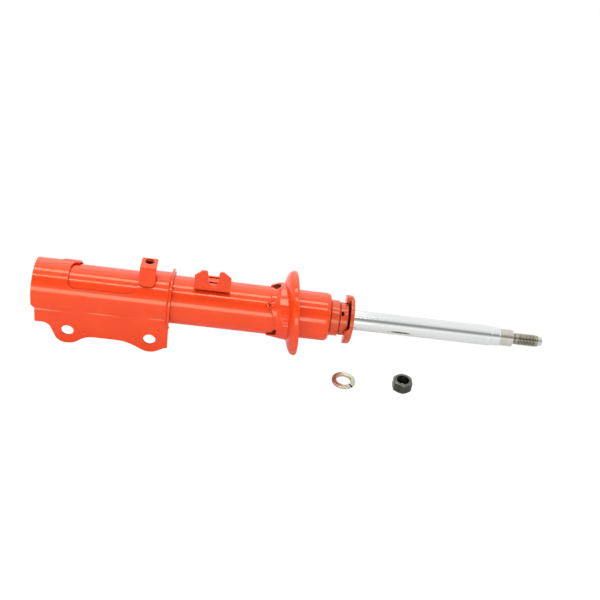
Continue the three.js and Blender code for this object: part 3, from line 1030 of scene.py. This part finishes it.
class Finish:
    """Builds one material's nodes."""

    def __init__(self, name, **values):
        self.material = bpy.data.materials.new(name)
        self.material.use_nodes = True
        self.tree = self.material.node_tree
        self.shader = self.tree.nodes["Principled BSDF"]
        self.place = self.tree.nodes.new("ShaderNodeTexCoord").outputs["Object"]
        set_inputs(self.shader, values)

    def link(self, output, target):
        self.tree.links.new(output, target)

    def wear(self, colour, rough):
        """Leads a colour and a roughness to the shader."""
        self.link(colour, self.shader.inputs["Base Color"])
        self.link(rough, self.shader.inputs["Roughness"])

    def node(self, kind, **values):
        node = self.tree.nodes.new(kind)
        set_inputs(node, values)
        return node

    def noise(self, scale, detail=3.0, stretch=(1, 1, 1)):
        """A noise over the object, its scale in waves per metre."""
        mapping = self.node("ShaderNodeMapping", Scale=stretch)
        self.link(self.place, mapping.inputs["Vector"])
        texture = self.node("ShaderNodeTexNoise", Scale=scale, Detail=detail)
        self.link(mapping.outputs["Vector"], texture.inputs["Vector"])
        return texture.outputs["Fac"]

    def ramp(self, value, stops):
        """A colour ramp with (position, colour) stops."""
        ramp = self.node("ShaderNodeValToRGB")
        fill_ramp(ramp, stops)
        self.link(value, ramp.inputs["Fac"])
        return ramp.outputs["Color"]

    def spread(self, value, low, high, start=0.3, end=0.7):
        """A value spread over a range."""
        spread = self.node("ShaderNodeMapRange", From_Min=start, From_Max=end,
                           To_Min=low, To_Max=high)
        self.link(value, spread.inputs["Value"])
        return spread.outputs["Result"]

    def crevice_shade(self, colour, dark, distance):
        """Painted shade: a colour that darkens where the surface is closed in."""
        open_sky = self.node("ShaderNodeAmbientOcclusion", Distance=distance)
        open_sky.samples = 8
        mix = self.node("ShaderNodeMixRGB", Color1=(*dark, 1))
        self.link(self.spread(open_sky.outputs["AO"], 0.0, 1.0, 0.22, 0.62), mix.inputs["Fac"])
        self.link(colour, mix.inputs["Color2"])
        return mix.outputs["Color"]

    def bump(self, value, strength, distance):
        bump = self.node("ShaderNodeBump", Strength=strength, Distance=distance)
        self.link(value, bump.inputs["Height"])
        self.link(bump.outputs["Normal"], self.shader.inputs["Normal"])


def red_paint(name, dark, light, rough):
    """Glossy red-orange enamel with a slight orange peel, a few duller patches and painted shade in
    its crevices.
    """
    finish = Finish(name, Metallic=0.0, IOR=1.56, Specular_Tint=(1.0, 1.0, 0.7, 1.0))
    colour = finish.ramp(finish.noise(38, 4), [(0.3, dark), (0.7, light)])
    finish.wear(finish.crevice_shade(colour, (0.07, 0.006, 0.002), 0.0045),
                finish.spread(finish.noise(70, 4), rough, rough * 1.6))
    finish.bump(finish.noise(420, 2), 0.05, 0.0004)
    return finish.material


def bare_recess():
    """Painted shade: dark, matt red for the recesses, gaps and bores where shade falls."""
    finish = Finish("bare recess", Metallic=0.0, Specular_IOR_Level=0.12)
    colour = finish.ramp(finish.noise(220, 4), [
        (0.3, (0.030, 0.005, 0.003)), (0.7, (0.13, 0.013, 0.007)),
    ])
    finish.wear(colour, finish.spread(finish.noise(500, 3), 0.55, 0.75))
    finish.bump(finish.noise(900, 2), 0.2, 0.0001)
    return finish.material


def chrome():
    """Hard chrome with fine grinding marks round the rod."""
    finish = Finish("chrome", Metallic=1.0)
    colour = finish.ramp(finish.noise(50, 3, (0.3, 1, 1)), [
        (0.3, (0.75, 0.765, 0.755)), (0.7, (0.79, 0.802, 0.792)),
    ])
    finish.wear(colour, finish.spread(finish.noise(900, 2, (1, 0.02, 0.02)), 0.07, 0.13))
    finish.bump(finish.noise(2600, 2, (1, 0.03, 0.03)), 0.05, 0.00005)
    return finish.material


# Plain metals: the darker and the lighter tone, the roughness, the blotches per metre, the bump.
METALS = {
    "satin_steel": ((0.54, 0.53, 0.48), (0.64, 0.63, 0.58), 0.2, 60, 0.04),
    "oily_black": ((0.008, 0.008, 0.007), (0.03, 0.03, 0.026), 0.35, 160, 0.15),
    "plain_steel": ((0.42, 0.42, 0.42), (0.55, 0.55, 0.56), 0.32, 160, 0.15),
    "black_steel": ((0.06, 0.063, 0.056), (0.12, 0.125, 0.112), 0.3, 120, 0.06),
    "worn_black": ((0.12, 0.125, 0.112), (0.21, 0.215, 0.195), 0.26, 120, 0.05),
    "sintered_iron": ((0.22, 0.22, 0.21), (0.32, 0.31, 0.30), 0.55, 160, 0.15),
    "bronze": ((0.42, 0.26, 0.11), (0.58, 0.38, 0.18), 0.36, 160, 0.15),
}


def metal(name, dark, light, rough, scale, bump):
    """A plain metal with blotches, from a darker to a lighter tone."""
    finish = Finish(name, Metallic=1.0)
    colour = finish.ramp(finish.noise(scale, 5), [(0.35, dark), (0.65, light)])
    finish.wear(colour, finish.spread(finish.noise(scale * 2.2, 4), rough * 0.8, rough * 1.25))
    finish.bump(finish.noise(scale * 6, 3), bump, 0.00008)
    return finish.material


def soft(name, dark, light, rough):
    """Rubber or plastic with a fine grain."""
    finish = Finish(name, Metallic=0.0)
    colour = finish.ramp(finish.noise(220, 4), [(0.35, dark), (0.65, light)])
    finish.wear(colour, finish.spread(finish.noise(500, 3), rough * 0.85, rough))
    finish.bump(finish.noise(1800, 2), 0.2, 0.00006)
    return finish.material


def nickel():
    """Dull nickel on the stud, with painted shade darkening the grooves of the thread."""
    finish = Finish("nickel", Metallic=1.0)
    across = finish.node("ShaderNodeVectorMath")
    across.operation = "MULTIPLY"
    across.inputs[1].default_value = (0, 1, 1)
    finish.link(finish.place, across.inputs[0])
    radius = finish.node("ShaderNodeVectorMath")
    radius.operation = "LENGTH"
    finish.link(across.outputs["Vector"], radius.inputs[0])
    # Painted shade: the colour darkens towards the roots of the thread.
    height = finish.spread(radius.outputs["Value"], 0.0, 1.0, *(r * MM for r in THREAD_SHADE_RADII))
    mix = finish.node("ShaderNodeMixRGB", Color1=(0.10, 0.092, 0.062, 1))
    finish.link(height, mix.inputs["Fac"])
    tone = finish.ramp(finish.noise(60, 4), [
        (0.35, (0.42, 0.40, 0.32)), (0.65, (0.54, 0.52, 0.44)),
    ])
    finish.link(tone, mix.inputs["Color2"])
    finish.wear(mix.outputs["Color"], finish.spread(finish.noise(140, 3), 0.18, 0.28))
    return finish.material


def yellow_zinc():
    """Yellow passivated zinc, which shimmers from pink and straw to green across the washer."""
    finish = Finish("yellow zinc", Metallic=1.0)
    parts = finish.node("ShaderNodeSeparateXYZ")
    finish.link(finish.place, parts.inputs["Vector"])
    ends = (0.298, 0.321)  # the washer's left and right, in metres
    across = finish.spread(parts.outputs["X"], 0.0, 0.8, *ends)
    blend = finish.node("ShaderNodeMath")
    finish.link(across, blend.inputs[0])
    finish.link(finish.spread(finish.noise(70, 1), -0.05, 0.3), blend.inputs[1])
    colour = finish.ramp(blend.outputs["Value"], [
        (0.05, (0.52, 0.29, 0.24)), (0.25, (0.66, 0.45, 0.36)), (0.5, (0.72, 0.60, 0.47)),
        (0.7, (0.64, 0.64, 0.49)), (0.9, (0.58, 0.61, 0.47)),
    ])
    finish.wear(colour, finish.spread(finish.noise(120, 2), 0.22, 0.32))
    finish.bump(finish.noise(300, 2), 0.02, 0.00004)
    return finish.material


def make_materials():
    return {
        "red_paint": red_paint("red paint", (0.80, 0.044, 0.0035), (0.86, 0.051, 0.0048), 0.06),
        # A rougher copy of the red paint, darker as painted shade for the neck and striker.
        "dull_paint": red_paint("dull paint", (0.60, 0.056, 0.016), (0.68, 0.066, 0.023), 0.13),
        "bare_recess": bare_recess(),
        "chrome": chrome(),
        "nickel": nickel(),
        "yellow_zinc": yellow_zinc(),
        **{name: metal(name.replace("_", " "), *look) for name, look in METALS.items()},
        "rubber": soft("rubber", (0.012, 0.012, 0.013), (0.028, 0.028, 0.03), 0.75),
        "ptfe": soft("ptfe", (0.05, 0.06, 0.055), (0.09, 0.1, 0.095), 0.5),
    }


def finish_cad_nodes(frame, materials):
    """Gives each CAD node that still shows the finish of its slot."""
    for node in frame["nodes"].values():
        for slot in node.material_slots:
            slot.material = materials[slot.material.name.split(".")[0]]


# ---- studio


# What is seen in each direction round the strut's axis: degrees from the near horizon over the
# top, and how bright. The dark stretch is the unlit room behind the camera.
ROOM = (
    (-180, 1.0), (-118, 1.03), (-60, 1.03), (0, 1.05), (22, 1.1),
    (29, 0.85), (40, 0.45), (52, 0.32), (60, 0.45), (78, 0.95), (104, 1.05), (170, 1.1),
)
# The strip lights: the angles that each spans, and how bright it is.
STRIPS = ((114, 168, 1.7), (94.5, 106, 5.6), (69.5, 75.5, 6.2), (5, 21.5, 4.4))
STRIP_X = (-0.75, 0.5)
STRIP_FAR = 1.6  # their distance from the strut, in metres
FLOOR_SIZE = 3.0

CAMERA_AT = (0.197147, -0.774231, 0.585387)
CAMERA_RIGHT = Vector((0.99128, 0.01911, 0.13040))
CAMERA_UP = Vector((-0.11618, 0.59375, 0.79622))
LENS = 58.85


def studio_world():
    world = bpy.data.worlds.new("studio")
    bpy.context.scene.world = world
    world.use_nodes = True
    tree = world.node_tree
    nodes, links = tree.nodes, tree.links
    split = nodes.new("ShaderNodeSeparateXYZ")
    links.new(nodes.new("ShaderNodeTexCoord").outputs["Generated"], split.inputs["Vector"])
    near = nodes.new("ShaderNodeMath")
    near.operation = "MULTIPLY"
    near.inputs[1].default_value = -1.0
    links.new(split.outputs["Y"], near.inputs[0])
    angle = nodes.new("ShaderNodeMath")
    angle.operation = "ARCTAN2"
    links.new(split.outputs["Z"], angle.inputs[0])
    links.new(near.outputs["Value"], angle.inputs[1])
    share = nodes.new("ShaderNodeMapRange")
    set_inputs(share, {"From Min": -pi, "From Max": pi})
    links.new(angle.outputs["Value"], share.inputs["Value"])
    ramp = nodes.new("ShaderNodeValToRGB")
    fill_ramp(ramp, [((degrees + 180) / 360, (level,) * 3) for degrees, level in ROOM])
    links.new(share.outputs["Result"], ramp.inputs["Fac"])
    links.new(ramp.outputs["Color"], nodes["Background"].inputs["Color"])


def floor(material):
    """The white floor that lights the strut from below. The camera sees the bright room instead."""
    height = FLOOR_Z * MM - 0.0005
    corners = [(x * FLOOR_SIZE, y * FLOOR_SIZE, height) for x in (-1, 1) for y in (-1, 1)]
    plane = new_object("floor", corners, [(0, 2, 3, 1)], material)
    plane.visible_camera = False


def strip_light(name, start, end, level):
    """A long panel along X that fills the angles from start to end, seen from the strut."""
    glow = bpy.data.materials.new(name)
    glow.use_nodes = True
    tree = glow.node_tree
    tree.nodes.clear()
    emission = tree.nodes.new("ShaderNodeEmission")
    emission.inputs["Strength"].default_value = level
    output = tree.nodes.new("ShaderNodeOutputMaterial")
    tree.links.new(emission.outputs["Emission"], output.inputs["Surface"])
    points = [
        (x, -STRIP_FAR * cos(radians(angle)), STRIP_FAR * sin(radians(angle)))
        for x in STRIP_X for angle in (start, end)
    ]
    panel = new_object(name, points, [(0, 1, 3, 2)], glow)
    panel.visible_camera = False


def camera():
    data = bpy.data.cameras.new("camera")
    data.lens = LENS
    data.sensor_width = 36.0
    item = bpy.data.objects.new("camera", data)
    bpy.context.scene.collection.objects.link(item)
    turn = Matrix((CAMERA_RIGHT, CAMERA_UP, CAMERA_RIGHT.cross(CAMERA_UP))).transposed()
    item.matrix_world = Matrix.Translation(CAMERA_AT) @ turn.to_4x4()
    bpy.context.scene.camera = item


def main():
    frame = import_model()
    materials = make_materials()
    for build in (tube, base_cap, knuckle_bracket, hose_bracket, hose_clip, seat_collar,
                  spring_seat, end_cap, striker, rod, loose_nut, spring_washer):
        build(materials)
    finish_cad_nodes(frame, materials)
    studio_world()
    floor(soft("floor", (0.74, 0.74, 0.74), (0.78, 0.78, 0.78), 0.9))
    for k, (start, end, level) in enumerate(STRIPS):
        strip_light(f"strip_{k}", start, end, level)
    camera()
    bpy.context.scene.view_settings.view_transform = "Standard"


main()
